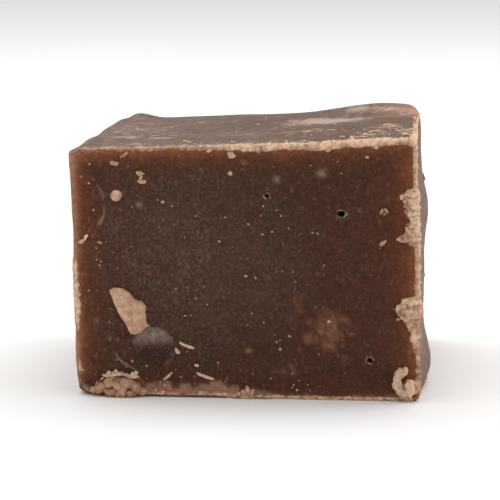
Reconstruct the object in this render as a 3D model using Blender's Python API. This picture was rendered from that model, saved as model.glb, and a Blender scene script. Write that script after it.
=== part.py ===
"""A knife-cut block of chocolate fudge, about 31.5 mm wide, 33 mm deep and 23 mm high.

Metres, +Z up. The origin is the middle of the flat underside and the front face looks along -Y.
The block starts as a sharp box with cut lines across it. Its edges are then rounded, its eight corners
shifted as the knife left them, and its poured top and soft sides given their swells and waves.
"""

from itertools import product
from math import exp, pi, sin

import bmesh
import bpy
from mathutils import Vector, noise

MM = 0.001

# Driving dimensions of the block before its corners are shifted.
WIDTH = 31.5 * MM
DEPTH = 33.0 * MM
HEIGHT = 23.0 * MM

# How many cells the cut lines leave along each side.
CELLS_WIDE = 26
CELLS_DEEP = 26
CELLS_HIGH = 20

# A cut edge is nearly sharp. Where the block was the rim of the slab, or was rubbed, it is rounder.
EDGE_RADIUS = 0.45 * MM
SOFT_SPOTS = (
    # (place as a share of the half sides: right, back, up), added radius, reach
    ((-1.0, -1.0, -1.0), 0.7 * MM, 3.0 * MM),
    ((1.0, 1.0, 1.0), 1.2 * MM, 6.0 * MM),
    ((1.0, -0.2, -1.0), 0.9 * MM, 8.0 * MM),
    ((-1.0, 1.0, 0.2), 1.2 * MM, 9.0 * MM),
    ((0.0, 1.0, -1.0), 0.7 * MM, 12.0 * MM),
)

# What the knife and the slab's uneven top add to each corner, right, back and up.
# A key is the corner's side: right or left, back or front, top or bottom.
CORNER_SHIFT = {
    (-1, -1, 1): (0.12 * MM, 0.0, -0.32 * MM),
    (1, -1, 1): (0.10 * MM, 0.0, 0.95 * MM),
    (-1, 1, 1): (0.80 * MM, 0.3 * MM, -0.45 * MM),
    (1, 1, 1): (-0.50 * MM, -0.2 * MM, 1.60 * MM),
    (-1, -1, -1): (0.65 * MM, 0.1 * MM, 0.0),
    (1, -1, -1): (0.60 * MM, 0.0, 0.0),
    (-1, 1, -1): (0.60 * MM, -0.3 * MM, 0.0),
    (1, 1, -1): (-0.10 * MM, 0.2 * MM, 0.0),
}

# Local swells and hollows: where, how far the surface moves there, and how far the swell reaches.
SWELLS = (
    # the foot that the tray left low on the right side
    ((0.50 * WIDTH, -6.0 * MM, 1.9 * MM), (1.20 * MM, 0.0, 0.0), (3.0 * MM, 7.0 * MM, 2.2 * MM)),
    # a belly on the right side's upper half, and a lower one under it
    ((0.50 * WIDTH, 2.0 * MM, 15.0 * MM), (0.97 * MM, 0.0, 0.0), (3.0 * MM, 9.0 * MM, 2.3 * MM)),
    ((0.50 * WIDTH, -2.0 * MM, 9.0 * MM), (0.42 * MM, 0.0, 0.0), (3.0 * MM, 9.0 * MM, 4.6 * MM)),
    # the little peak at the back left corner of the top
    ((-0.46 * WIDTH, 0.50 * DEPTH, HEIGHT), (0.0, 0.0, 0.70 * MM), (1.5 * MM, 2.4 * MM, 3.0 * MM)),
    # the rises along the top's left edge
    ((-0.50 * WIDTH, -7.5 * MM, HEIGHT), (0.0, 0.0, 0.33 * MM), (3.0 * MM, 4.0 * MM, 3.0 * MM)),
    ((-0.50 * WIDTH, 5.0 * MM, HEIGHT), (-0.12 * MM, 0.0, 0.45 * MM), (3.0 * MM, 6.0 * MM, 3.0 * MM)),
    ((-0.49 * WIDTH, 11.0 * MM, HEIGHT), (0.0, 0.0, 0.54 * MM), (3.0 * MM, 3.5 * MM, 3.0 * MM)),
    # the front left corner of the top, which stands out a little
    ((-0.50 * WIDTH, -0.50 * DEPTH, HEIGHT), (-0.22 * MM, 0.0, 0.0), (2.0 * MM, 3.0 * MM, 1.6 * MM)),
    # the sagging middle of the top's back edge, and the ridge to its right
    ((2.0 * MM, 0.50 * DEPTH, HEIGHT), (0.0, 0.0, -0.26 * MM), (6.5 * MM, 5.0 * MM, 5.0 * MM)),
    ((0.36 * WIDTH, 0.50 * DEPTH, HEIGHT), (0.0, 0.0, 0.40 * MM), (4.0 * MM, 3.5 * MM, 4.0 * MM)),
    # the sag in the middle of the top
    ((-0.08 * WIDTH, 0.05 * DEPTH, HEIGHT), (0.0, 0.0, -0.28 * MM), (9.0 * MM, 8.0 * MM, 8.0 * MM)),
    # the bulge low on the front left upright edge, and the two nicks above it
    ((-0.50 * WIDTH, -0.50 * DEPTH, 3.6 * MM), (-0.18 * MM, 0.0, 0.0), (2.0 * MM, 3.0 * MM, 2.6 * MM)),
    ((-0.50 * WIDTH, -0.50 * DEPTH, 15.7 * MM), (0.25 * MM, 0.0, 0.0), (1.5 * MM, 1.6 * MM, 0.7 * MM)),
    ((-0.50 * WIDTH, -0.50 * DEPTH, 7.0 * MM), (0.28 * MM, 0.0, 0.0), (1.5 * MM, 1.6 * MM, 0.6 * MM)),
    # the blister low on the left of the front face
    ((-7.9 * MM, -0.50 * DEPTH, 4.3 * MM), (0.0, -0.35 * MM, 0.0), (1.6 * MM, 2.0 * MM, 1.6 * MM)),
    # a shallow thumb mark on the back face and one on the left side
    ((4.0 * MM, 0.50 * DEPTH, 13.0 * MM), (0.0, -0.30 * MM, 0.0), (5.0 * MM, 3.0 * MM, 4.0 * MM)),
    ((-0.50 * WIDTH, 3.0 * MM, 10.0 * MM), (0.25 * MM, 0.0, 0.0), (3.0 * MM, 6.0 * MM, 4.0 * MM)),
)

# Slow waves over the whole skin. They fade out towards the underside, which stays flat.
WAVES = (
    # length of a wave, height
    (9.0 * MM, 0.16 * MM),
    (3.5 * MM, 0.06 * MM),
)
FLAT_BELOW = 1.5 * MM
WAVE_SEED = 5

FUDGE_COLOUR = (0.064, 0.033, 0.024, 1.0)
FUDGE_ROUGHNESS = 0.55
SHARP_EDGE_ANGLE = pi / 4

HALF = Vector((WIDTH / 2, DEPTH / 2, HEIGHT / 2))


def cut_places(half_length, cells):
    """Where the cut lines cross one side, closer together towards its ends."""
    return [half_length * sin(pi / 2 * (2 * i / cells - 1)) for i in range(1, cells)]


def sharp_box():
    """A box round the origin with a grid of cut lines over its faces."""
    box = bmesh.new()
    bmesh.ops.create_cube(box, size=1.0)
    bmesh.ops.scale(box, vec=2 * HALF, verts=box.verts)
    for axis, cells in enumerate((CELLS_WIDE, CELLS_DEEP, CELLS_HIGH)):
        across = Vector([float(i == axis) for i in range(3)])
        for place in cut_places(HALF[axis], cells):
            everything = box.verts[:] + box.edges[:] + box.faces[:]
            bmesh.ops.bisect_plane(box, geom=everything, plane_co=across * place, plane_no=across)
    return box


def edge_radius(point):
    """How round the block's edges are near this point of the sharp box."""
    radius = EDGE_RADIUS
    for place, added, reach in SOFT_SPOTS:
        away = (point - Vector(place) * HALF).length / reach
        radius += added * exp(-away * away)
    return radius


def rounded(point):
    """The point moved onto the box with rounded edges, which stands on z = 0 from here on."""
    radius = edge_radius(point)
    core = Vector([max(radius - h, min(h - radius, c)) for c, h in zip(point, HALF)])
    return core + (point - core).normalized() * radius + Vector((0.0, 0.0, HALF.z))


def corner_shift(point):
    """The corners' shifts, blended over the block."""
    share = Vector((point.x / HALF.x, point.y / HALF.y, point.z / HALF.z - 1.0))
    shift = Vector()
    for corner in product((-1, 1), repeat=3):
        weight = 1.0
        for side, place in zip(corner, share):
            weight *= (1 + side * place) / 2
        shift += weight * Vector(CORNER_SHIFT[corner])
    return shift


def swell_shift(point):
    """What all the local swells and hollows add at this point."""
    shift = Vector()
    for centre, height, reach in SWELLS:
        away = sum(((p - c) / r) ** 2 for p, c, r in zip(point, centre, reach))
        shift += exp(-away) * Vector(height)
    return shift


def wave_shift(point):
    """The slow waves of the skin, none at the underside."""
    shift = Vector()
    for length, height in WAVES:
        shift += height * noise.noise_vector(point / length)
    return shift * min(1.0, point.z / FLAT_BELOW)


def settled(point):
    """A point of the sharp box, moved to where the real block has it."""
    point = rounded(point)
    return point + corner_shift(point) + swell_shift(point) + wave_shift(point)


def fudge_material():
    material = bpy.data.materials.new("fudge")
    material.use_nodes = True
    shader = material.node_tree.nodes["Principled BSDF"]
    shader.inputs["Base Color"].default_value = FUDGE_COLOUR
    shader.inputs["Roughness"].default_value = FUDGE_ROUGHNESS
    shader.inputs["Metallic"].default_value = 0.0
    return material


def fudge_cube():
    box = sharp_box()
    for vertex in box.verts:
        vertex.co = settled(vertex.co)
    bmesh.ops.recalc_face_normals(box, faces=box.faces)
    mesh = bpy.data.meshes.new("fudge_cube")
    box.to_mesh(mesh)
    box.free()
    mesh.shade_smooth()
    mesh.set_sharp_from_angle(angle=SHARP_EDGE_ANGLE)
    mesh.materials.append(fudge_material())
    cube = bpy.data.objects.new("fudge_cube", mesh)
    bpy.context.scene.collection.objects.link(cube)
    return cube


for old in list(bpy.data.objects):
    bpy.data.objects.remove(old)
# Without a seed, noise_vector starts somewhere else on each run.
noise.seed_set(WAVE_SEED)
fudge_cube()
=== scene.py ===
"""The looks of a chocolate fudge cube: its skin, dry crust, air holes, flakes and crumbs.

Shapes are worked out in millimetres, +Z up, with the front face looking along -Y. They are laid on the
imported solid, so they follow it, and turned into metres when a piece is made.
"""

from collections import namedtuple
from math import cos, exp, pi, radians, sin, tau
from random import Random

import bmesh
import bpy
import numpy as np
from mathutils import Matrix, Vector, kdtree, noise
from mathutils.bvhtree import BVHTree


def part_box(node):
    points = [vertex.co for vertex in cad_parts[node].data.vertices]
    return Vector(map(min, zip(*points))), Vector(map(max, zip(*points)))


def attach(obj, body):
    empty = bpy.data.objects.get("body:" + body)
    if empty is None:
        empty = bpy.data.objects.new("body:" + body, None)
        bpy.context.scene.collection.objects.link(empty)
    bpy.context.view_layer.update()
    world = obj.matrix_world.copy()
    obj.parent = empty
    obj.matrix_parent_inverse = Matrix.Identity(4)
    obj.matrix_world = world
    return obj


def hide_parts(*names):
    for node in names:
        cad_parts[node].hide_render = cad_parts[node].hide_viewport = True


MM = 0.001
NODE = "fudge_cube"

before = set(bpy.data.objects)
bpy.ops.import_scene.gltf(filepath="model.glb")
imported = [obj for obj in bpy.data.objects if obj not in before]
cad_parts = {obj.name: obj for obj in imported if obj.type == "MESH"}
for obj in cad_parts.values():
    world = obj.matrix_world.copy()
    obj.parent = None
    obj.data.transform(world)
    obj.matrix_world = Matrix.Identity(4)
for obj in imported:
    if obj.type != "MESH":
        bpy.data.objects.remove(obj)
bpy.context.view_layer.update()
LOW, HIGH = (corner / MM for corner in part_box(NODE))
MIDDLE = (LOW + HIGH) / 2
HALF = (HIGH - LOW) / 2

FRONT = Vector((0, -1, 0))
BACK = Vector((0, 1, 0))
LEFT = Vector((-1, 0, 0))
RIGHT = Vector((1, 0, 0))
TOP = Vector((0, 0, 1))
BOTTOM = Vector((0, 0, -1))


# ---------------------------------------------------------------- small maths


def smooth_step(value, low, high):
    """0 below low, 1 above high and a smooth rise between them."""
    share = min(1.0, max(0.0, (value - low) / (high - low)))
    return share * share * (3 - 2 * share)


def spot(across, up, reach_across, reach_up):
    """1 at the middle of a soft round spot, falling to 0 past its reach."""
    return exp(-((across / reach_across) ** 2) - (up / reach_up) ** 2)


def rough(point, size, offset=0.0, octaves=3):
    """Uneven values from about -1 to 1, in lumps of this size in millimetres."""
    return noise.fractal(point / size + Vector((offset, offset, offset)), 1.0, 2.0, octaves)


def crumbly(point, size):
    """Round crumbs of this size packed together: 1 on top of each one, falling to 0 between them."""
    away = noise.voronoi(point / size)[0][0]
    return max(0.0, 1 - 1.4 * away * away)


def linear(red, green, blue):
    """A screen colour from 0 to 255 as the linear colour that shaders take."""
    shares = (channel / 255 for channel in (red, green, blue))
    return Vector([s / 12.92 if s <= 0.04045 else ((s + 0.055) / 1.055) ** 2.4 for s in shares])


# ---------------------------------------------------------------- laying shapes on the solid

WELD = 1e-4
SMOOTHING_LEVELS = 2
OUTSIDE = 14.0
LIFT = 0.5


def smoothed_solid():
    """The CAD solid with its facets smoothed away, as a tree of surface points in millimetres."""
    solid = bmesh.new()
    solid.from_mesh(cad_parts[NODE].data)
    bmesh.ops.scale(solid, vec=Vector((1, 1, 1)) / MM, verts=solid.verts)
    bmesh.ops.remove_doubles(solid, verts=solid.verts, dist=WELD)
    bmesh.ops.join_triangles(solid, faces=solid.faces, angle_face_threshold=pi, angle_shape_threshold=pi)
    mesh = bpy.data.meshes.new("smoothed_solid")
    solid.to_mesh(mesh)
    solid.free()
    cage = bpy.data.objects.new("smoothed_solid", mesh)
    bpy.context.scene.collection.objects.link(cage)
    cage.modifiers.new("smoothing", "SUBSURF").levels = SMOOTHING_LEVELS
    tree = BVHTree.FromObject(cage, bpy.context.evaluated_depsgraph_get())
    bpy.data.objects.remove(cage)
    bpy.data.meshes.remove(mesh)
    return tree


solid_tree = smoothed_solid()


def on_solid(point):
    """The point of the block's surface nearest to this one."""
    return solid_tree.find_nearest(point)[0]


def along_axes(vector, lengths):
    return Vector([v * length for v, length in zip(vector, lengths)])


def edge_point(first, second, share):
    """The middle of the rounded edge between two faces, share from -1 to 1 of the way along it."""
    run = Vector([abs(c) for c in first.cross(second)])
    corner = MIDDLE + along_axes(first + second + run * share, HALF)
    return on_solid(corner + (first + second) * OUTSIDE)


def edge_side_point(edge, own, other, distance):
    """The point on the face that looks along own, this far from an edge point it shares with other."""
    return on_solid(edge + own * LIFT - other * distance)


FACE_RIGHT = {
    # which way is right on each face, seen from outside
    tuple(FRONT): RIGHT,
    tuple(BACK): LEFT,
    tuple(RIGHT): BACK,
    tuple(LEFT): FRONT,
    tuple(TOP): RIGHT,
}


def standing(place, out, right, turn=0.0):
    """Axes at a place: z out of the surface, and x as near as can be to right, turned by some degrees."""
    out = out.normalized()
    right = (right - out * right.dot(out)).normalized()
    axes = Matrix((right, out.cross(right), out)).transposed().to_4x4()
    return Matrix.Translation(place) @ axes @ Matrix.Rotation(radians(turn), 4, "Z")


def landing(face, across, up, turn=0.0, sink=0.0):
    """Where a thing lies on a face: x to the face's right, y up it and z out of it.

    across is measured from the middle of the face. up is measured from the underside, or on the top
    face from the middle. turn is in degrees.
    """
    right = FACE_RIGHT[tuple(face)]
    upwards = face.cross(right)
    start = right * across + upwards * up + face * (HALF.length * 2)
    if face == TOP:
        start.z += HIGH.z
    place, out, _, _ = solid_tree.ray_cast(start, -face)
    return standing(place - out * sink, out, right, turn)


def normals_of(points, faces):
    """The smooth normal at each point of a mesh."""
    mesh = bpy.data.meshes.new("normals")
    mesh.from_pydata(points, [], faces)
    flat = np.empty(len(points) * 3, np.float32)
    mesh.vertex_normals.foreach_get("vector", flat)
    bpy.data.meshes.remove(mesh)
    return [Vector(normal) for normal in flat.reshape(-1, 3).tolist()]


def shell(counts):
    """The surface of a box of cells: grid places and the four corners of each cell's face."""
    places, quads = {}, []
    for axis in range(3):
        one, two = (axis + 1) % 3, (axis + 2) % 3
        for side in (0, counts[axis]):
            for i in range(counts[one]):
                for j in range(counts[two]):
                    corners = []
                    for step_one, step_two in ((0, 0), (1, 0), (1, 1), (0, 1)):
                        place = [0, 0, 0]
                        place[axis] = side
                        place[one] = i + step_one
                        place[two] = j + step_two
                        corners.append(places.setdefault(tuple(place), len(places)))
                    quads.append(corners if side else corners[::-1])
    return list(places), quads


# ---------------------------------------------------------------- pieces


def piece(name, points, faces, material, **values):
    """A piece from points in millimetres, with a named value or colour at each of its points."""
    mesh = bpy.data.meshes.new(name)
    mesh.from_pydata([point * MM for point in points], [], faces)
    for value_name, at_points in values.items():
        if isinstance(at_points[0], Vector):
            store = mesh.attributes.new(value_name, "FLOAT_COLOR", "POINT")
            flat = [channel for colour in at_points for channel in (*colour, 1.0)]
            store.data.foreach_set("color", flat)
        else:
            store = mesh.attributes.new(value_name, "FLOAT", "POINT")
            store.data.foreach_set("value", at_points)
    mesh.shade_smooth()
    mesh.materials.append(material)
    made = bpy.data.objects.new(name, mesh)
    bpy.context.scene.collection.objects.link(made)
    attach(made, "root")
    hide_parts(NODE)
    return made


class Heap:
    """Small solids gathered into one mesh, with a paleness at each point."""

    def __init__(self):
        self.points = []
        self.faces = []
        self.pale = []

    def add(self, solid, place, pale):
        """Adds a solid, its points and faces, where the matrix place puts it.

        pale is its middling paleness. Its lower places are browner and its higher places paler: painted shade near the
        surface it lies on, and painted light on its top.
        """
        points, faces = solid
        start = len(self.points)
        self.points += [place @ point for point in points]
        self.faces += [[start + corner for corner in face] for face in faces]
        lift = max(point.z for point in points)
        # Painted light and shade: paler with height above the surface, browner close to it.
        self.pale += [pale + 0.35 * (point.z / lift - 0.75) + 0.2 * rough(point, 0.5, 70.0) for point in points]

    def piece(self, name, material):
        return piece(name, self.points, self.faces, material, pale=self.pale)


# ---------------------------------------------------------------- shader building


class Shader:
    """One material's nodes. Each method adds a node and returns its output."""

    def __init__(self, name):
        self.material = bpy.data.materials.new(name)
        self.material.use_nodes = True
        self.tree = self.material.node_tree
        self.principled = self.tree.nodes["Principled BSDF"]
        coordinates = self.tree.nodes.new("ShaderNodeTexCoord").outputs["Object"]
        self.place = self.vector("SCALE", coordinates, scale=1 / MM)

    def feed(self, socket, value):
        if isinstance(value, bpy.types.NodeSocket):
            self.tree.links.new(value, socket)
        elif isinstance(value, Vector) and len(socket.default_value) == 4:
            socket.default_value = (*value, 1.0)
        else:
            socket.default_value = value

    def vector(self, operation, first, second=None, scale=None):
        node = self.tree.nodes.new("ShaderNodeVectorMath")
        node.operation = operation
        self.feed(node.inputs[0], first)
        if second is not None:
            self.feed(node.inputs[1], second)
        if scale is not None:
            self.feed(node.inputs["Scale"], scale)
        return node.outputs["Vector"]

    def maths(self, operation, first, second=0.0):
        node = self.tree.nodes.new("ShaderNodeMath")
        node.operation = operation
        self.feed(node.inputs[0], first)
        self.feed(node.inputs[1], second)
        return node.outputs[0]

    def value(self, name):
        node = self.tree.nodes.new("ShaderNodeAttribute")
        node.attribute_name = name
        return node.outputs["Fac"]

    def colour(self, name):
        node = self.tree.nodes.new("ShaderNodeAttribute")
        node.attribute_name = name
        return node.outputs["Color"]

    def clouds(self, size, detail=3.0, stretch=(1, 1, 1), distortion=0.0):
        """Noise from 0 to 1 in lumps of this size, drawn out along each axis by stretch."""
        node = self.tree.nodes.new("ShaderNodeTexNoise")
        squeeze = Vector([1 / (size * s) for s in stretch])
        self.feed(node.inputs["Vector"], self.vector("MULTIPLY", self.place, squeeze))
        self.feed(node.inputs["Scale"], 1.0)
        self.feed(node.inputs["Detail"], detail)
        self.feed(node.inputs["Distortion"], distortion)
        return node.outputs[0]

    def cells(self, size, feature="F1"):
        """Cells of this size: the distance from each one's middle, in cells, and its own colour."""
        node = self.tree.nodes.new("ShaderNodeTexVoronoi")
        node.feature = feature
        self.feed(node.inputs["Vector"], self.place)
        self.feed(node.inputs["Scale"], 1 / size)
        return node.outputs["Distance"], node.outputs["Color"]

    def rise(self, value, low, high, start=0.0, end=1.0):
        """From start to end as value goes from low to high, smoothly."""
        node = self.tree.nodes.new("ShaderNodeMapRange")
        node.interpolation_type = "SMOOTHSTEP"
        for socket, given in zip(node.inputs, (value, low, high, start, end)):
            self.feed(socket, given)
        return node.outputs[0]

    def ridge(self, value, half_width):
        """1 where a cloud's value is one half, in thin curved lines, falling to 0 beside them."""
        away = self.maths("ABSOLUTE", self.maths("SUBTRACT", value, 0.5))
        return self.rise(away, 0.0, half_width, 1.0, 0.0)

    def mix(self, share, first, second, blend="MIX"):
        node = self.tree.nodes.new("ShaderNodeMix")
        node.data_type = "RGBA"
        node.blend_type = blend
        self.feed(node.inputs["Factor"], share)
        self.feed(node.inputs[6], first)
        self.feed(node.inputs[7], second)
        return node.outputs[2]

    def shaded(self, colour, amount):
        """The colour made lighter or darker by amount, where 1 leaves it alone."""
        node = self.tree.nodes.new("ShaderNodeHueSaturation")
        self.feed(node.inputs["Value"], amount)
        self.feed(node.inputs["Color"], colour)
        return node.outputs[0]

    def bumped(self, height, depth, strength):
        """Fine relief as high as depth in millimetres."""
        node = self.tree.nodes.new("ShaderNodeBump")
        self.feed(node.inputs["Height"], height)
        self.feed(node.inputs["Distance"], depth * MM)
        self.feed(node.inputs["Strength"], strength)
        return node.outputs[0]

    def specks(self, size, radius, share):
        """Round specks, one to some of the cells of this size: 1 inside a speck, 0 outside."""
        distance, own = self.cells(size)
        parts = self.tree.nodes.new("ShaderNodeSeparateColor")
        self.feed(parts.inputs[0], own)
        wanted = self.maths("MULTIPLY", parts.outputs[1], radius / size)
        shown = self.maths("LESS_THAN", parts.outputs[0], share)
        inside = self.rise(self.maths("SUBTRACT", wanted, distance), 0.0, 0.6 * radius / size)
        return self.maths("MULTIPLY", inside, shown)

    def finish(self, colour, roughness, normal, specular, scattering):
        self.feed(self.principled.inputs["Base Color"], colour)
        self.feed(self.principled.inputs["Roughness"], roughness)
        self.feed(self.principled.inputs["Normal"], normal)
        self.principled.inputs["Specular IOR Level"].default_value = specular
        self.principled.inputs["Subsurface Weight"].default_value = scattering
        self.principled.inputs["Subsurface Radius"].default_value = (1.0, 0.42, 0.22)
        self.principled.inputs["Subsurface Scale"].default_value = 0.9 * MM
        return self.material


SPECK = linear(168, 150, 130)
FROST = linear(178, 153, 138)
WISP = linear(114, 97, 88)
RED_DRIFT = Vector((1.07, 0.96, 0.92))
OLIVE_DRIFT = Vector((0.93, 1.02, 0.99))
NO_DRIFT = Vector((1.0, 1.0, 1.0))
WARM_DRIFT = Vector((1.04, 0.98, 0.95))


def fudge_skin():
    """Waxy fudge: its tint, soft mottling, pale grains and specks, and the frost of its drier faces."""
    s = Shader("fudge_skin")
    upright = s.value("upright")
    fine = s.mix(upright, s.clouds(0.4, detail=4.0, stretch=(1, 1.8, 1)), s.clouds(0.35, detail=4.0))
    finest = s.mix(upright, s.clouds(0.12, detail=2.0, stretch=(1, 1.8, 1)), s.clouds(0.1, detail=2.0))
    soft = s.clouds(1.1, detail=3.0)
    colour = s.shaded(s.colour("tint"), s.rise(soft, 0.3, 0.7, 0.93, 1.07))
    colour = s.shaded(colour, s.rise(fine, 0.3, 0.7, 0.82, 1.18))
    colour = s.shaded(colour, s.rise(finest, 0.3, 0.7, 0.92, 1.08))

    drift = s.rise(s.clouds(0.7, detail=3.0, distortion=0.5), 0.35, 0.65)
    colour = s.mix(1.0, colour, s.mix(drift, OLIVE_DRIFT, RED_DRIFT), "MULTIPLY")

    # Soft pale grains with a few faint curved strokes among them, in loose drifts.
    grains = s.rise(s.clouds(0.3, detail=3.0, distortion=0.2), 0.44, 0.76)
    strokes = s.ridge(s.clouds(1.1, detail=1.5, distortion=0.6), 0.018)
    strokes = s.maths("MULTIPLY", strokes, s.rise(s.clouds(0.7, detail=1.0), 0.5, 0.68, 0.0, 0.3))
    drifts = s.rise(s.clouds(1.6, detail=2.0), 0.3, 0.62, 0.35, 1.0)
    wisps = s.maths("MULTIPLY", s.maths("MAXIMUM", grains, strokes), drifts)
    wisps = s.maths("MULTIPLY", wisps, s.value("wisps"))
    colour = s.mix(s.maths("MULTIPLY", wisps, 0.7), colour, WISP)

    # Frost lies in upright grains on a cut side, and in patches on the poured top.
    grainy = s.clouds(0.35, detail=4.0, stretch=(1, 1, 1.8), distortion=0.4)
    patchy = s.clouds(0.7, detail=3.5, stretch=(1, 1.7, 1), distortion=0.4)
    cover = s.maths("ADD", s.mix(upright, patchy, grainy), s.maths("MULTIPLY", s.value("frost"), 0.5))
    frost = s.rise(cover, 0.57, 1.12, 0.0, 0.9)
    frost = s.maths("MULTIPLY", frost, s.rise(fine, 0.3, 0.65, 0.7, 1.0))
    colour = s.mix(frost, colour, FROST)

    amount = s.value("specks")
    for size, radius, share, strength in ((0.6, 0.1, 0.6, 0.6), (1.2, 0.2, 0.55, 0.85), (0.3, 0.06, 0.35, 0.55)):
        some = s.specks(size, radius, s.maths("MULTIPLY", amount, share))
        colour = s.mix(s.maths("MULTIPLY", some, strength), colour, SPECK)

    relief = s.maths("ADD", fine, s.maths("MULTIPLY", finest, 0.5))
    relief = s.maths("ADD", relief, s.maths("ADD", frost, wisps))
    roughness = s.rise(fine, 0.3, 0.7, 0.48, 0.64)
    return s.finish(colour, roughness, s.bumped(relief, 0.02, 0.45), specular=0.06, scattering=0.2)


CRUST_BROWN = linear(118, 76, 53)
CRUST_TAN = linear(174, 136, 110)
CRUST_CREAM = linear(216, 185, 158)


def dry_fudge(name, mottling, depth, crease_depth_and_shade):
    """Dry sugary fudge, from brown through tan to cream by its paleness."""
    s = Shader(name)
    fine = s.clouds(0.35, detail=4.0)
    grain = s.clouds(0.09, detail=3.0)
    pale = s.maths("ADD", s.value("pale"), s.rise(fine, 0.25, 0.75, -mottling, mottling))
    pale = s.maths("ADD", pale, s.rise(grain, 0.3, 0.7, -mottling / 3, mottling / 3))
    colour = s.mix(s.rise(pale, 0.0, 0.55), CRUST_BROWN, CRUST_TAN)
    colour = s.mix(s.rise(pale, 0.5, 1.1), colour, CRUST_CREAM)
    drift = s.rise(s.clouds(0.6, detail=2.0, distortion=0.4), 0.4, 0.7)
    colour = s.mix(1.0, colour, s.mix(drift, NO_DRIFT, WARM_DRIFT), "MULTIPLY")
    # Crumb cells: the creases between them are sunk in the relief and darkened with painted shade.
    crumbs, _ = s.cells(0.28)
    colour = s.shaded(colour, s.rise(crumbs, 0.25, 0.85, 1.04, 1 - crease_depth_and_shade))
    relief = s.maths("ADD", fine, s.maths("MULTIPLY", grain, 0.6))
    relief = s.maths("SUBTRACT", relief, s.maths("MULTIPLY", crumbs, crease_depth_and_shade))
    roughness = s.rise(grain, 0.3, 0.7, 0.65, 0.85)
    return s.finish(colour, roughness, s.bumped(relief, depth, 0.6), specular=0.08, scattering=0.25)


skin_material = fudge_skin()
crust_material = dry_fudge("dry_crust", mottling=0.17, depth=0.06, crease_depth_and_shade=0.16)
flake_material = dry_fudge("smooth_flake", mottling=0.07, depth=0.03, crease_depth_and_shade=0.08)


# ---------------------------------------------------------------- skin

SKIN_CELLS = (150, 96, 110)
SKIN_MARGIN = 0.2

# Colours of the fudge itself, and among them colours of painted light and shade.
DARK = linear(68, 44, 34)
GREY = linear(75, 54, 44)
RED = linear(78, 43, 31)
# Painted glow: the orange of light shining through the fudge near its edges.
PAINTED_GLOW_ORANGE = linear(116, 66, 41)
EDGE_TAN = linear(160, 118, 92)
MOTTLED = linear(112, 73, 56)
PIT_RIM = linear(158, 138, 114)
# Painted shade inside the air holes.
PAINTED_PIT_SHADE = linear(16, 8, 6)
# The blister's pale crown: frosty grain with a painted highlight of its lit top.
CROWN_HIGHLIGHT = linear(130, 112, 102)
BAND = linear(158, 120, 102)
SHADOW = linear(52, 34, 29)
PALE_PINK = linear(188, 158, 140)
TOP_BROWN = linear(88, 68, 55)
TOP_GREY = linear(100, 82, 73)
SIDE_GREY = linear(98, 78, 68)
SIDE_BROWN = linear(88, 62, 50)

# Air holes in the front face: place across and up, radius of the hole, depth.
PITS = (
    (9.3, 17.2, 0.28, 0.7),
    (11.9, 3.8, 0.24, 0.6),
    (2.5, 18.8, 0.18, 0.3),
)
PIT_RIM_REACH = 1.8
PIT_RIM_HEIGHT = 0.05

# The blister low on the left of the front face, and the thin arc of the pan mark round it: a low ridge whose pale line
# is a painted highlight.
BLISTER = (-8.0, 4.65)
BLISTER_REACH = (1.95, 1.9)
ARC = (-8.4, 5.0)
ARC_REACH = (3.3, 2.6)

# How strongly and how far the painted glow of light shining through each edge turns the fudge orange, and how pale its
# very rim is.
Edge = namedtuple("Edge", "first second glow reach rim")
EDGES = (
    Edge(FRONT, TOP, 1.0, 0.85, 0.3),
    Edge(FRONT, RIGHT, 0.9, 1.25, 0.1),
    Edge(FRONT, LEFT, 0.75, 1.2, 1.0),
    Edge(FRONT, BOTTOM, 0.25, 0.9, 0.1),
    Edge(RIGHT, TOP, 0.5, 0.8, 0.0),
    Edge(RIGHT, BACK, 0.6, 0.9, 0.0),
    Edge(RIGHT, BOTTOM, 0.6, 1.2, 0.0),
    Edge(LEFT, TOP, 0.5, 0.8, 0.0),
    Edge(LEFT, BACK, 0.6, 0.9, 0.0),
    Edge(LEFT, BOTTOM, 0.4, 1.2, 0.0),
    Edge(BACK, TOP, 0.8, 0.9, 0.0),
    Edge(BACK, BOTTOM, 0.4, 1.2, 0.0),
)
EDGE_SAMPLES = 130


def edge_tree():
    """Points along all twelve edges, to tell how far a point is from the nearest one."""
    tree = kdtree.KDTree(len(EDGES) * EDGE_SAMPLES)
    for number, edge in enumerate(EDGES):
        for i in range(EDGE_SAMPLES):
            share = 2 * i / (EDGE_SAMPLES - 1) - 1
            tree.insert(edge_point(edge.first, edge.second, share), number * EDGE_SAMPLES + i)
    tree.balance()
    return tree


near_edges = edge_tree()


def nearest_edge(point):
    """The edge nearest to a point, and how far away it is."""
    _, index, distance = near_edges.find(point)
    return EDGES[index // EDGE_SAMPLES], distance


def flap_side(x, z):
    """How far a point of the front face lies left of the curved cut in its upper left corner."""
    cut = -12.35 - 0.17 * (z - 17.6) ** 2
    return cut - x


def flap_span(z):
    """1 along the height of the curved cut, 0 below and above it."""
    return smooth_step(z, 13.5, 14.7) * (1 - smooth_step(z, 19.7, 20.7))


def oval_place(x, z, middle, reach):
    """A point's place in an oval, across and up, and how far out it is: 1 is the rim."""
    across = (x - middle[0]) / reach[0]
    up = (z - middle[1]) / reach[1]
    return across, up, (across * across + up * up) ** 0.5


def arc_share(x, z):
    """1 on the thin arc left of and below the blister, falling to 0 beside it and fainter to its right."""
    across, up, away = oval_place(x, z, ARC, ARC_REACH)
    strength = smooth_step(-up, 0.2, 0.6) * smooth_step(-across, 0.1, 0.7)
    return strength * exp(-((away - 1) / 0.028) ** 2)


def pit_place(p, pit):
    """How far a point is from an air hole's middle, in radii of the uneven hole."""
    away = ((p.x - pit[0]) ** 2 + (p.z - pit[1]) ** 2) ** 0.5 / pit[2]
    return away * (1 + 0.45 * rough(p, 0.4, pit[0]))


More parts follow.
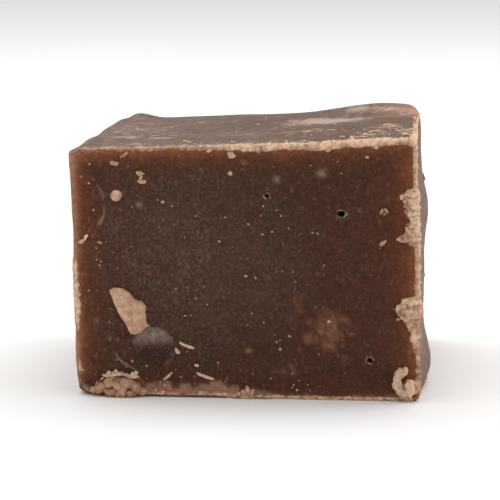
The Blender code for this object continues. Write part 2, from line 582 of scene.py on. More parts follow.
def pit_relief(p):
    """A raised rim round each air hole, and the hole itself."""
    height = 0.0
    for pit in PITS:
        away = pit_place(p, pit)
        height += PIT_RIM_HEIGHT * exp(-((away - 1.3) / 0.3) ** 2)
        height -= pit[3] * (1 - smooth_step(away, 0.45, 1.1))
    return height


def front_relief(p):
    """What the front face adds to the solid: the flap's step, the blister and arc, and the air holes."""
    height = 0.02 * rough(p, 1.4, 3.0)
    height -= 0.1 * smooth_step(flap_side(p.x, p.z), -0.08, 0.12) * flap_span(p.z)
    away = oval_place(p.x, p.z, BLISTER, BLISTER_REACH)[2]
    height += 0.15 * (1 - smooth_step(away, 0.6, 1.05)) + 0.04 * arc_share(p.x, p.z)
    return height + pit_relief(p)


def top_relief(p):
    """Grit on the poured top, near its front."""
    return 0.005 * rough(p, 1.0, 7.0) + 0.04 * max(0.0, rough(p, 0.45, 9.0)) * smooth_step(-p.y, 6, 15)


def side_relief(p):
    """The upright grain that the knife dragged down the other cut faces."""
    return 0.03 * rough(Vector((p.x, p.y, p.z / 3)), 0.7, 5.0) + 0.012 * rough(p, 0.3, 2.0, 2)


def skin_height(p, normal):
    """How far the skin stands off the smoothed solid, in millimetres."""
    if normal.z < -0.7 or p.z < 0.02:
        return 0.0
    front = smooth_step(-normal.y, 0.5, 0.9)
    top = smooth_step(normal.z, 0.5, 0.9)
    height = 0.03 * rough(p, 2.6) * (1 - 0.7 * top)
    if front:
        height += front * front_relief(p)
    if top:
        height += top * top_relief(p)
    if front + top < 1:
        height += (1 - front - top) * side_relief(p)
    return height * smooth_step(p.z, 0.0, 0.6)


# Soft marks in the front face: place across and up, half length and half width, turn, colour, amount.
Mark = namedtuple("Mark", "across up long wide turn colour amount")
MARKS = (
    Mark(-12.75, 16.3, 0.5, 0.15, 60, PIT_RIM, 0.5),
    Mark(-9.2, 17.8, 0.25, 0.2, 0, PIT_RIM, 0.6),
    Mark(7.5, 20.9, 0.4, 0.35, 20, PIT_RIM, 0.65),
    Mark(3.4, 20.3, 0.3, 0.3, 0, PALE_PINK, 0.35),
    Mark(3.9, 22.5, 0.5, 0.4, 80, MOTTLED, 0.9),
    Mark(5.0, 22.6, 0.45, 0.15, 80, SHADOW, 0.7),
    Mark(0.4, 21.8, 0.2, 0.17, 0, PIT_RIM, 0.6),
    Mark(-1.9, 22.6, 0.25, 0.2, 80, MOTTLED, 0.9),
    Mark(-13.2, 7.0, 0.3, 0.14, 80, PIT_RIM, 0.5),
    Mark(-12.0, 5.4, 0.25, 0.12, 70, PIT_RIM, 0.4),
    Mark(-15.1, 2.4, 0.3, 0.2, 60, PALE_PINK, 0.7),
    Mark(-14.9, 1.4, 0.35, 0.2, -60, PALE_PINK, 0.7),
    Mark(-14.2, 0.6, 0.45, 0.25, -40, PALE_PINK, 0.7),
    Mark(4.9, 2.9, 0.5, 0.17, -60, EDGE_TAN, 0.4),
    Mark(0.9, 4.5, 0.25, 0.22, 0, EDGE_TAN, 0.6),
)


def mark_share(x, z, mark):
    """1 at the middle of a soft mark, falling to 0 past its ends and sides."""
    turn = radians(mark.turn)
    across, up = x - mark.across, z - mark.up
    along = across * cos(turn) + up * sin(turn)
    beside = up * cos(turn) - across * sin(turn)
    return mark.amount * spot(along, beside, mark.long, mark.wide)


# How high the pale band along the front's bottom edge reaches: place along the edge, height.
BAND_STOPS = (
    (-13.5, 0.4), (-10.5, 0.9), (-7.0, 1.3), (-4.8, 1.15), (-3.0, 1.25), (-1.8, 1.5), (-0.5, 1.1), (1.6, 0.7), (4.0, 0.45),
    (9.0, 0.4), (16.0, 0.45),
)


def band_share(p):
    """1 in the soft pale band along the bottom of the front face, 0 above it."""
    places, heights = zip(*BAND_STOPS)
    height = float(np.interp(p.x, places, heights)) * (1 + 0.4 * rough(p, 0.9, 21.0))
    return smooth_step(height - p.z, -0.2, 0.25)


def front_tint(p):
    """The fudge's colour over the front face, with painted highlight and shade on the blister and painted shade in the
    air holes, before its edges are coloured.
    """
    x, z = p.x, p.z
    grey = 0.9 * spot(x + 6.5, z - 14, 9, 8) + 0.4 * spot(x - 2, z - 10, 8, 7) - 0.1
    tint = DARK.lerp(GREY, min(1.0, max(0.0, grey + 0.35 * rough(p, 1.8, 1.0))))
    flap = smooth_step(flap_side(x, z), -0.2, 0.3) * smooth_step(z, 13.5, 14.7)
    red = 0.9 * flap + 0.55 * spot(x - 13, z - 16, 4, 7) + 0.5 * spot(x + 14, z - 8, 2.5, 9)
    red += 0.4 * spot(x, z - 1, 14, 2) + 0.3 * spot(x - 11, z - 6, 6, 5)
    tint = tint.lerp(RED, min(1.0, red * (0.8 + 0.4 * rough(p, 1.2, 2.0))))
    line = exp(-((flap_side(x, z) / 0.13) ** 2)) * flap_span(z) * smooth_step(rough(p, 0.8, 14.0), -0.4, 0.2)
    tint = tint.lerp(WISP, 0.7 * line)
    patch = spot(x - 7.9, z - 6.0, 2.2, 1.8) + 0.6 * spot(x - 8.8, z - 8.0, 1.5, 1.2)
    patch += 0.6 * spot(x - 5.0, z - 9.4, 0.9, 1.1) + 0.5 * spot(x - 4.6, z - 2.6, 0.8, 0.6)
    tint = tint.lerp(MOTTLED, smooth_step(patch + 0.75 * rough(p, 0.8, 4.0), 0.3, 1.2))
    tint = tint.lerp(EDGE_TAN, 0.4 * smooth_step(patch + 1.1 * rough(p, 0.45, 5.0), 1.0, 1.7))
    tint = tint.lerp(BAND, 0.9 * band_share(p))
    across, up, away = oval_place(x, z, BLISTER, BLISTER_REACH)
    inside = 1 - smooth_step(away, 0.94, 1.02)
    # Painted shade on the blister's lower part, below its dome.
    tint = tint.lerp(SHADOW, spot(across - 0.05, up + 0.35, 0.75, 0.45))
    # Painted highlight on the blister's upper slope, over a frosty grain.
    crown_highlight = inside * smooth_step(up - 0.08 * across, 0.0, 0.5)
    tint = tint.lerp(CROWN_HIGHLIGHT, min(1.0, max(0.0, crown_highlight * (0.8 + 0.5 * rough(p, 0.5, 6.0)))))
    rim = exp(-((away - 1) / 0.04) ** 2) * smooth_step(across, 0.0, 0.8)
    tint = tint.lerp(PIT_RIM, 0.3 * rim * smooth_step(rough(p, 0.6, 22.0), -0.4, 0.3))
    for mark in MARKS:
        tint = tint.lerp(mark.colour, mark_share(x, z, mark))
    # Painted highlight along the arc's low ridge, where it catches the light.
    tint = tint.lerp(PIT_RIM, 0.6 * arc_share(x, z))
    for pit in PITS:
        away = pit_place(p, pit)
        if away < 1.5 * PIT_RIM_REACH:
            rim = exp(-((away - 1.3) / 0.28) ** 2)
            tint = tint.lerp(PIT_RIM, min(1.0, max(0.0, rim * (0.45 + 1.1 * rough(p, 0.5, 8.0)))))
            # Painted shade: the inside of each hole darkened.
            tint = tint.lerp(PAINTED_PIT_SHADE, 1 - smooth_step(away, 0.75, 1.05))
    return tint


def top_tint(p):
    """The poured top, greyer at the left and browner towards the back, with a pale back right corner."""
    grey = 0.45 - 0.04 * p.x + 0.6 * rough(p, 4.0, 11.0)
    tint = TOP_BROWN.lerp(TOP_GREY, min(1.0, max(0.0, grey)))
    streak = rough(Vector((p.x / 3, p.y, p.z)), 1.6, 17.0)
    tint = tint.lerp(MOTTLED, 0.45 * smooth_step(streak, 0.05, 0.5))
    corner = spot(p.x - 16, p.y - 13, 4, 9) * (1 + 0.5 * rough(p, 1.8, 15.0))
    return tint.lerp(EDGE_TAN, min(1.0, 0.8 * corner))


# Where frost lies thicker on the top: place right and back of its middle, reaches, amount.
FROST_SPOTS = (
    # the broad patch right of the middle
    (5.0, 4.5, 2.5, 2.5, 1.0),
    (8.0, 3.0, 2.5, 2.0, 1.0),
    # by the back right corner
    (9.0, 13.0, 1.5, 2.5, 0.8),
    (12.0, 11.0, 1.5, 2.0, 0.8),
    (15.0, 8.0, 1.5, 3.5, 0.7),
    # the rubbed front right quarter
    (6.0, -5.5, 1.0, 1.0, 0.8),
    (13.0, -3.5, 1.0, 2.0, 0.8),
    (15.0, -8.0, 1.0, 2.0, 0.9),
    (12.0, -8.5, 1.0, 2.0, 0.7),
    (10.5, -12.0, 1.0, 1.5, 0.7),
    # smears left of the middle
    (-6.5, 9.0, 0.5, 1.0, 0.8),
    (-8.5, -6.0, 1.5, 0.5, 0.9),
    (-12.0, -5.5, 1.5, 1.0, 0.6),
    (-10.0, -12.5, 1.0, 1.0, 0.8),
    (0.0, -5.5, 2.5, 0.5, 0.7),
    # a haze over the left part, and a dusting along the front edge
    (-12.5, 3.0, 3.0, 8.0, 0.3),
    (0.0, -15.5, 18.0, 2.0, 0.45),
)


def top_frost(p):
    frost = 0.15 + 0.15 * rough(p, 3.0, 16.0)
    for right, back, reach_right, reach_back, amount in FROST_SPOTS:
        frost += amount * spot(p.x - right, p.y - back, reach_right, reach_back)
    return max(0.0, frost)


def side_tint(p):
    """The other cut faces: grey-brown, with soft upright smudges."""
    tint = SIDE_BROWN.lerp(SIDE_GREY, min(1.0, max(0.0, 0.6 + 0.5 * rough(p, 4.0, 1.0))))
    smudge = rough(Vector((p.x, p.y, p.z / 2.2)), 0.9, 12.0)
    return tint.lerp(MOTTLED, 0.7 * smooth_step(smudge, 0.42, 0.7))


def painted_corner_glow(p):
    """1 at the translucent top left corner of the front face, whose paler tint is a painted glow of light through the
    corner, falling to 0 round it.
    """
    return 0.75 * exp(-(((p.x - LOW.x) / 1.1) ** 2) - ((p.z - 22.6) / 1.6) ** 2)


Looks = namedtuple("Looks", "tint frost upright specks wisps")


def skin_looks(p, normal):
    """What the skin's material reads at a point of the skin."""
    front = smooth_step(-normal.y, 0.4, 0.8)
    top = smooth_step(normal.z, 0.4, 0.8)
    right = smooth_step(normal.x, 0.4, 0.8)
    left = smooth_step(-normal.x, 0.4, 0.8)
    back = smooth_step(normal.y, 0.4, 0.8)
    tint = side_tint(p)
    if front:
        tint = tint.lerp(front_tint(p), front)
    if top:
        tint = tint.lerp(top_tint(p), top)
    near_front = right * exp(-((p.y - LOW.y) / 7) ** 2)
    near_front *= min(1.0, 1.0 + 0.7 * rough(p, 1.3, 19.0) + smooth_step(LOW.y + 3 - p.y, 0.0, 3.0))
    tint = tint.lerp(PALE_PINK, (0.15 + 0.8 * smooth_step(p.z, 3, 9)) * near_front)
    edge, distance = nearest_edge(p)
    distance = max(0.0, distance - 0.35 * rough(p, 1.5, 10.0))
    share = distance / edge.reach
    # Painted glow of light through the nearest edge, strongest at the edge.
    glow = edge.glow * (0.75 * exp(-share * share) + 0.25 * exp(-share * share / 6)) * (1 - top) * (1 - near_front)
    tint = tint.lerp(PAINTED_GLOW_ORANGE, min(1.0, glow))
    if edge.first == FRONT:
        # The pale rim along the front edges, plus the painted glow at the translucent top left corner.
        tint = tint.lerp(EDGE_TAN, min(1.0, edge.rim * exp(-((nearest_edge(p)[1] / 0.5) ** 2)) + painted_corner_glow(p)))
    wisps = front * (0.2 + 0.8 * spot(p.x + 6, p.z - 13, 9, 9)) * (1 - 0.6 * glow)
    specks = 0.45 + 0.5 * front * spot(p.x + 5, p.z - 12, 11, 9)
    frost = top_frost(p) * top + right * (0.3 + 0.5 * near_front * smooth_step(p.z, 2, 9)) + 0.15 * left + 0.2 * back
    return Looks(tint, frost, 1 - top, specks, wisps)


def needs_finer_cells(p):
    """Whether a place on the front face has detail too fine for the even grid."""
    if p.y > LOW.y + 2:
        return False
    if any(pit_place(p, pit) < 2.4 for pit in PITS):
        return True
    if abs(flap_side(p.x, p.z)) < 0.3 and 13.5 < p.z < 20.5:
        return True
    across, up, away = oval_place(p.x, p.z, ARC, ARC_REACH)
    return abs(away - 1) < 0.12 and up < 0 and up + 0.7 * across < -0.5


def skin_mesh():
    """An even grid on the solid, finer where the front face has fine detail."""
    places, quads = shell(SKIN_CELLS)
    low = LOW - Vector((SKIN_MARGIN,) * 3)
    span = HIGH - LOW + Vector((2 * SKIN_MARGIN,) * 3)
    points = [
        on_solid(low + Vector([s * i / n for s, i, n in zip(span, place, SKIN_CELLS)])) for place in places
    ]
    skin = bmesh.new()
    made = [skin.verts.new(point) for point in points]
    for quad in quads:
        skin.faces.new([made[corner] for corner in quad])
    finer = []
    for edge in skin.edges:
        if needs_finer_cells((edge.verts[0].co + edge.verts[1].co) / 2):
            finer.append(edge)
    bmesh.ops.subdivide_edges(skin, edges=finer, cuts=3, use_grid_fill=True)
    skin.verts.index_update()
    points = [on_solid(vertex.co) for vertex in skin.verts]
    faces = [[vertex.index for vertex in face.verts] for face in skin.faces]
    skin.free()
    return points, faces


def fudge_body():
    points, faces = skin_mesh()
    normals = normals_of(points, faces)
    looks = zip(*[skin_looks(p, n) for p, n in zip(points, normals)])
    points = [p + n * skin_height(p, n) for p, n in zip(points, normals)]
    return piece("fudge_body", points, faces, skin_material, **dict(zip(Looks._fields, looks)))


# ---------------------------------------------------------------- dry crust along the edges

Stop = namedtuple("Stop", "place reach pale")
Crust = namedtuple("Crust", "name first second cell thickness grains first_stops second_stops")


def stops(*rows):
    return [Stop(*row) for row in rows]


CRUSTS = (
    # how fine and how thick the crust is, its loose grains to the millimetre, and along each of its two
    # faces: a place on the edge, how far the crust reaches there and how pale it is
    Crust(
        "front_right", FRONT, RIGHT, 0.06, 0.32, 12,
        stops(
            (0.0, 0.1, 0.8), (4.3, 0.0, 0.8), (5.1, 0.2, 0.8), (6.3, 0.5, 0.8), (7.2, 0.75, 0.7),
            (7.7, 1.3, 0.75), (8.6, 1.75, 0.8), (9.4, 1.3, 0.9), (9.8, -0.05, 0.8), (10.6, 0.1, 0.8),
            (11.6, -0.15, 0.8), (13.0, 0.05, 0.8), (14.2, -0.15, 0.8),
            (14.6, 0.7, 0.7), (15.0, 1.7, 0.8), (15.7, 0.8, 0.7), (16.6, 0.45, 0.7), (17.3, 0.7, 0.75),
            (18.1, 1.0, 0.8), (18.7, 1.3, 0.9), (19.3, 0.9, 0.85), (19.7, -0.1, 0.9), (24.6, -0.1, 0.9),
        ),
        stops(
            (0.0, 0.3, 0.5), (6.0, 0.3, 0.5), (8.5, 0.9, 0.7), (11.0, 0.5, 0.8), (17.0, 0.9, 0.9),
            (20.0, 0.5, 0.9), (24.6, 0.5, 1.0),
        ),
    ),
    Crust(
        "front_top", TOP, FRONT, 0.06, 0.2, 5,
        stops(
            (-16.0, 0.1, 0.6), (-10.0, 0.25, 0.65), (-3.0, 0.3, 0.75), (2.0, 0.5, 0.9), (8.0, 0.6, 0.95),
            (12.0, 1.0, 1.0), (16.5, 0.8, 1.0),
        ),
        stops(
            (-16.0, -0.05, 0.4), (-14.3, 0.06, 0.45), (-12.0, -0.02, 0.4), (-9.0, 0.1, 0.5), (-6.5, 0.0, 0.5),
            (-3.0, 0.12, 0.65), (0.8, 0.34, 0.85), (4.5, 0.2, 0.8), (7.5, 0.38, 0.85), (9.5, 0.22, 0.85),
            (12.0, 0.32, 0.9), (14.5, 0.12, 0.9), (16.5, 0.0, 0.9),
        ),
    ),
    Crust(
        "front_left", FRONT, LEFT, 0.07, 0.1, 0,
        stops(
            (0.0, 0.0, 0.6), (0.8, 0.75, 0.95), (2.6, 0.5, 0.9), (4.0, -0.1, 0.75), (5.6, -0.2, 0.75), (6.4, 0.3, 0.95),
            (7.4, 0.5, 1.0), (9.5, 0.45, 1.0), (12.3, 0.35, 0.95), (13.3, -0.3, 0.7), (24.6, -0.3, 0.6),
        ),
        stops((6.2, -0.3, 0.75), (6.9, 0.7, 0.75), (12.3, 0.6, 0.75), (13.3, -0.3, 0.7)),
    ),
    Crust(
        "front_bottom", FRONT, BOTTOM, 0.07, 0.12, 4,
        stops(
            (-16.0, -0.2, 0.5), (-13.0, 0.1, 0.4), (-8.0, 0.45, 0.6), (-5.0, 0.3, 0.55), (-2.5, 0.5, 0.65), (-1.0, 0.35, 0.75),
            (1.0, 0.2, 0.8), (1.7, 0.15, 1.0), (16.5, 0.15, 1.05),
        ),
        stops((-3.0, -0.1, 0.5), (1.5, 0.35, 1.0)),
    ),
    Crust(
        "right_top", TOP, RIGHT, 0.09, 0.12, 2,
        stops((-17.0, 0.7, 1.0), (-12.0, 0.3, 0.9), (-4.0, 0.15, 0.8), (6.0, 0.1, 0.8), (12.0, -0.2, 0.7)),
        stops((-17.0, 0.6, 1.0), (-10.0, 0.35, 0.9), (0.0, 0.3, 0.8), (10.0, 0.2, 0.8), (14.0, -0.2, 0.7)),
    ),
    Crust(
        "right_back", RIGHT, BACK, 0.09, 0.12, 0,
        stops((0.0, -0.3, 0.5)),
        stops((0.0, 0.3, 0.6), (12.0, 0.5, 0.6), (20.0, 0.3, 0.6), (23.0, -0.2, 0.6)),
    ),
    Crust(
        "right_bottom", RIGHT, BOTTOM, 0.09, 0.14, 4,
        stops((-17.0, 0.3, 0.6), (-6.0, 0.2, 0.45), (6.0, 0.5, 0.4), (17.0, 0.3, 0.4)),
        stops((0.0, 0.1, 0.4)),
    ),
    Crust(
        "left_top", TOP, LEFT, 0.09, 0.06, 0,
        stops((-17.0, -0.3, 0.6)),
        stops((-17.0, -0.2, 0.6), (-8.0, 0.3, 0.6), (-3.0, -0.2, 0.6), (5.0, 0.3, 0.6), (17.0, 0.5, 0.6)),
    ),
    Crust(
        "left_back", LEFT, BACK, 0.09, 0.12, 2,
        stops((0.0, 0.5, 0.5), (8.0, 0.2, 0.5), (14.0, 0.7, 0.55), (19.0, -0.2, 0.5), (25.0, -0.2, 0.5)),
        stops((0.0, 0.3, 0.5), (12.0, 0.4, 0.5), (19.0, -0.2, 0.5)),
    ),
    Crust(
        "left_bottom", LEFT, BOTTOM, 0.09, 0.14, 4,
        stops((-17.0, 0.1, 0.5), (-3.0, 0.4, 0.45), (8.0, 0.15, 0.4), (17.0, 0.6, 0.4)),
        stops((0.0, 0.1, 0.4)),
    ),
    Crust(
        "back_top", TOP, BACK, 0.09, 0.06, 0,
        stops((-16.0, -0.3, 0.6)),
        stops((-16.0, 0.4, 0.6), (-5.0, 0.2, 0.6), (0.0, 0.4, 0.7), (6.0, -0.2, 0.6), (12.0, 0.4, 0.6), (16.5, 0.6, 0.6)),
    ),
    Crust(
        "back_bottom", BACK, BOTTOM, 0.09, 0.14, 4,
        stops((-16.0, 0.4, 0.4), (-4.0, 0.25, 0.35), (5.0, 0.8, 0.3), (10.0, 0.2, 0.4), (16.5, 0.5, 0.4)),
        stops((0.0, 0.1, 0.4)),
    ),
)
CRUST_BORDER = 0.12
CRUST_SINK = 0.08
CRUMB_SIZE = 0.4
# Each strip runs a little past the corners, so that strips meet there.
PAST_CORNERS = 1.02


def edge_run(crust):
    """The axis that the crust's edge runs along."""
    return Vector([abs(c) for c in crust.first.cross(crust.second)])


def at_place(crust_stops, place):
    """How far a crust reaches at this place along the edge, and how pale it is there."""
    for before, after in zip(crust_stops, crust_stops[1:]):
        if place < after.place:
            share = smooth_step(place, before.place, after.place)
            return (
                before.reach + share * (after.reach - before.reach),
                before.pale + share * (after.pale - before.pale),
            )
    return crust_stops[-1].reach, crust_stops[-1].pale


def crust_here(crust, side, p):
    """At a point: the crust's reach on one of its faces, its paleness and its thickness."""
    place = edge_run(crust).dot(p)
    reaches = [at_place(crust.first_stops, place), at_place(crust.second_stops, place)]
    reach, pale = reaches[side]
    full = min(1.5, 0.6 + 0.6 * max(0.0, reaches[0][0], reaches[1][0]))
    return reach * (1 + 0.25 * rough(p, 1.6, 20.0, 2)), pale, crust.thickness * full


def strip(crust, widest):
    """A grid over an edge: its points, how far each is from the edge on which face, and its quads."""
    rows = round(2 * edge_run(crust).dot(HALF) / crust.cell)
    before = round(widest[0] / crust.cell)
    after = round(widest[1] / crust.cell)
    points, distances = [], []
    for row in range(rows + 1):
        edge = edge_point(crust.first, crust.second, PAST_CORNERS * (2 * row / rows - 1))
        for column in range(-before, after + 1):
            distance = abs(column) * crust.cell
            own, other = (crust.first, crust.second) if column < 0 else (crust.second, crust.first)
            points.append(edge_side_point(edge, own, other, distance))
            distances.append((int(column >= 0), distance))
    width = before + after + 1
    quads = []
    for row in range(rows):
        for column in range(width - 1):
            corner = row * width + column
            quads.append([corner, corner + 1, corner + width + 1, corner + width])
    return points, distances, quads


def crust_piece(crust):
    """The crust along one edge: a rough layer that ends in a ragged line, its border sunk in the skin."""
    widest = [0.4 + 1.2 * max(stop.reach for stop in row) for row in (crust.first_stops, crust.second_stops)]
    points, distances, quads = strip(crust, widest)
    normals = normals_of(points, quads)
    facing = sum(n.dot(crust.first + crust.second) for n in normals)
    if facing < 0:
        quads = [quad[::-1] for quad in quads]
        normals = [-n for n in normals]
    laid, inside, pales = [], [], []
    for p, n, (side, distance) in zip(points, normals, distances):
        reach, pale, thickness = crust_here(crust, side, p)
        ragged = 0.09 + 0.3 * min(1.0, max(0.0, reach))
        margin = reach - distance + ragged * rough(p, 0.55, 30.0, 4)
        lumps = 0.35 + 0.85 * crumbly(p, CRUMB_SIZE) + 0.25 * rough(p, 0.15, 50.0, 2) + 0.4 * rough(p, 0.9, 90.0)
        height = thickness * smooth_step(margin, 0.0, CRUST_BORDER) * max(0.15, lumps)
        height -= CRUST_SINK * smooth_step(-margin, 0.0, CRUST_BORDER)
        point = p + n * (skin_height(p, n) + height)
        point.z = max(point.z, 0.0)
        laid.append(point)
        inside.append(margin)
        pale -= 0.3 * (1 - smooth_step(margin, 0.0, 0.2))
        # Paler on the tops of the lumps and browner between them: painted light and shade.
        pales.append(pale + 0.4 * (lumps - 0.8) + 0.2 * rough(p, 0.9, 60.0))
    kept = [quad for quad in quads if max(inside[corner] for corner in quad) > -CRUST_BORDER]
    return laid, kept, pales


def compact(points, faces, values):
    """Points that lie on one another made one, and no point without a face or face without an area."""
    number, kept_points, kept_values, kept_faces = {}, [], [], []
    for face in faces:
        corners = []
        for corner in face:
            place = tuple(round(c, 4) for c in points[corner])
            if place not in number:
                number[place] = len(kept_points)
                kept_points.append(points[corner])
                kept_values.append(values[corner])
            if number[place] not in corners:
                corners.append(number[place])
        if len(corners) > 2:
            kept_faces.append(corners)
    return kept_points, kept_faces, kept_values


def crusts():
    for crust in CRUSTS:
        points, faces, pale = compact(*crust_piece(crust))
        piece("crust_" + crust.name, points, faces, crust_material, pale=pale)


def crust_grains():
    """Loose grains along the crusts, more of them near the edge."""
    heap = Heap()
    generator = Random(7)
    for crust in CRUSTS:
        run = edge_run(crust)
        for _ in range(round(2 * run.dot(HALF) * crust.grains)):
            edge = edge_point(crust.first, crust.second, generator.uniform(-1, 1))
            side = generator.randrange(2)
            reach, pale, thickness = crust_here(crust, side, edge)
            own, other = (crust.first, crust.second) if side == 0 else (crust.second, crust.first)
            distance = reach * generator.uniform(0.0, 1.15)
            size = generator.uniform(0.06, 0.16) * (1 + 1.2 * generator.random() ** 4)
            radii = (size, size * generator.uniform(0.6, 1.0), size * generator.uniform(0.4, 0.6))
            seed = generator.uniform(0, 50)
            turn = generator.uniform(0, 180)
            pale += generator.uniform(-0.2, 0.1)
            if reach < (0.3 if own == FRONT else 0.03):
                continue
            place, out, _, _ = solid_tree.find_nearest(edge_side_point(edge, own, other, distance))
            place += out * 0.3 * thickness
            place.z = max(place.z, 0.9 * size)
            heap.add(crumb(radii, 0.5, seed, 3 if size > 0.12 else 2), standing(place, out, run, turn), pale)
    outwards = FRONT + RIGHT + TOP
    corner = on_solid(MIDDLE + along_axes(outwards, HALF) + outwards * OUTSIDE)
    heap.add(crumb((0.5, 0.5, 0.3), 0.25, 1.0, 4), standing(corner, outwards, RIGHT), 0.9)
    heap.piece("crust_grains", crust_material)


# ---------------------------------------------------------------- small solids


def crumb(radii, unevenness, seed, detail):
    """A rough lump."""
    ball = bmesh.new()
    bmesh.ops.create_icosphere(ball, subdivisions=detail, radius=1.0)
    points = [along_axes(v.co * (1 + unevenness * rough(v.co, 0.9, seed)), radii) for v in ball.verts]
    faces = [[vertex.index for vertex in face.verts] for face in ball.faces]
    ball.free()
    return points, faces


def polygon_reach(corners):
    """A function of an angle: how far a polygon round the origin reaches that way."""
    def reach(angle):
        way = Vector((cos(angle), sin(angle)))
        for start, end in zip(corners, corners[1:] + corners[:1]):
            start, side = Vector(start), Vector(end) - Vector(start)
            across = way.x * side.y - way.y * side.x
            if abs(across) < 1e-9:
                continue
            distance = (start.x * side.y - start.y * side.x) / across
            share = (start.x * way.y - start.y * way.x) / across
            if distance > 0 and -1e-6 <= share <= 1 + 1e-6:
                return distance
        return 0.1
    return reach


def flat(_x, _y):
    return 0.0


def plate(reach, thickness, seed, rings, sectors, unevenness=0.2, fold=flat):
    """A thin flake lying on z = 0, with this outline. It is closed below, a little under z = 0."""
    points = [Vector((0, 0, thickness))]
    for ring in range(1, rings + 1):
        share = sin(pi / 2 * ring / rings)
        for sector in range(sectors):
            angle = tau * sector / sectors
            way = Vector((cos(angle), sin(angle), 0))
            p = way * reach(angle) * share * (1 + 0.04 * rough(way, 0.35, seed))
            height = thickness * (1 - 0.5 * share ** 12)
            height += thickness * unevenness * rough(p, 0.8, seed + 5) + fold(p.x, p.y)
            height += 0.3 * thickness * unevenness * rough(p, 0.25, seed + 9)
            points.append(p + Vector((0, 0, max(height, 0.3 * thickness))))
    under = -0.5 * thickness
    points += [Vector((p.x, p.y, under)) for p in points[-sectors:]]
    points.append(Vector((0, 0, under)))
    faces = []
    for sector in range(sectors):
        following = (sector + 1) % sectors
        faces.append([0, 1 + sector, 1 + following])
        for ring in range(rings):
            inner, outer = 1 + ring * sectors, 1 + (ring + 1) * sectors
            faces.append([inner + sector, outer + sector, outer + following, inner + following])
        last = 1 + rings * sectors
        faces.append([last + following, last + sector, len(points) - 1])
    return points, faces


def horn(bend_radius, start, end, thickness, depth, seed, rings=28, sectors=16):
    """A rough horn bent round the origin from one angle to another, thin at its ends.

    thickness is its greatest radius in the plane of the bend, and depth its radius across that plane.
    """
    points = []
    for ring in range(rings + 1):
        share = ring / rings
        angle = radians(start + (end - start) * share)
        out = Vector((cos(angle), sin(angle), 0))
        swell = max(0.05, sin(pi * min(1.0, 0.08 + 0.84 * share)) ** 0.6)
        for sector in range(sectors):
            turn = tau * sector / sectors
            offset = out * cos(turn) * thickness * swell + Vector((0, 0, sin(turn) * depth * swell))
            p = out * bend_radius + offset
            points.append(p + offset * (0.35 * rough(p, 0.5, seed) + 0.25 * rough(p, 0.2, seed)))
    faces = []
    for ring in range(rings):
        for sector in range(sectors):
            following = (sector + 1) % sectors
            inner, outer = ring * sectors, (ring + 1) * sectors
            faces.append([inner + sector, inner + following, outer + following, outer + sector])
    faces.append(list(range(sectors))[::-1])
    faces.append([rings * sectors + sector for sector in range(sectors)])
    return points, faces


def sliver(length, width, bend, seed, rings=10, sectors=6):
    """A thin shaving along x, bent a little sideways, in the plane of the surface, towards its ends."""
    points = []
    for ring in range(rings + 1):
        share = 2 * ring / rings - 1
        swell = (1 - 0.6 * abs(share) ** 8) * (1 + 0.25 * rough(Vector((share, 0, 0)), 0.5, seed))
        middle = Vector((share * length / 2, bend * share * share, 0.1 * width))
        for sector in range(sectors):
            turn = tau * sector / sectors
            points.append(middle + Vector((0, cos(turn), sin(turn) * 0.8)) * width / 2 * swell)
    faces = []
    for ring in range(rings):
        for sector in range(sectors):
            following = (sector + 1) % sectors
            inner, outer = ring * sectors, (ring + 1) * sectors
            faces.append([inner + sector, outer + sector, outer + following, inner + following])
    faces.append(list(range(sectors)))
    faces.append([rings * sectors + sector for sector in range(sectors)][::-1])
    return points, faces


# ---------------------------------------------------------------- the bits that can be told apart

CHIP_OUTLINE = [
    (-1.76, 1.77), (-1.34, 2.0), (-0.42, 1.93), (0.2, 1.54), (0.66, 0.93), (1.28, 0.77),
    (1.67, 0.39), (1.62, -0.3), (1.66, -1.15), (1.88, -1.5), (1.28, -2.08), (0.74, -2.3),
    (0.23, -2.22), (-0.1, -1.54), (-0.8, -0.46), (-1.19, 0.31), (-1.5, 1.23),
]


def chip_fold(x, y):
    """The flake is bent: right of a crease from its top to its foot it slopes down."""
    return -0.2 * smooth_step(x - 0.2 - 0.2 * (1.5 - y), 0.0, 1.0)


def big_chip():
    heap = Heap()
    solid = plate(polygon_reach(CHIP_OUTLINE), 0.5, 2.0, 26, 140, 0.25, chip_fold)
    heap.add(solid, landing(FRONT, -10.25, 8.15), 0.74)
    heap.piece("big_chip", flake_material)


def edge_curl():
    """A curled shaving low on the front face's right edge: a claw round a lump."""
    heap = Heap()
    place = landing(FRONT, 15.2, 1.85, sink=-0.15)
    taller = Matrix.Diagonal((1.0, 1.35, 1.0, 1.0))
    heap.add(horn(0.72, 70, 300, 0.42, 0.5, 3.0), place @ taller, 1.0)
    for across, up, out, radii, pale in (
        (0.5, -0.45, 0.1, (0.65, 0.75, 0.6), 1.0),
        (0.1, -1.0, 0.1, (0.6, 0.35, 0.4), 0.9),
        (-0.5, -0.4, 0.1, (0.35, 0.6, 0.4), 0.85),
        (0.95, -0.2, 0.0, (0.35, 0.5, 0.35), 0.7),
        (-0.35, 0.75, 0.1, (0.3, 0.35, 0.3), 0.95),
        (0.05, 1.15, 0.1, (0.2, 0.35, 0.2), 0.9),
    ):
        lump = crumb(radii, 0.5, 3 * across + up, 4)
        heap.add(lump, place @ Matrix.Translation((across, up, out)), pale)
    heap.piece("edge_curl", flake_material)


def petal(across, up, out, radii, turn, tilt, pale):
    """One folded shaving of the cluster: where it lies, its half sizes, how it is turned and tilted."""
    return across, up, out, radii, turn, tilt, pale


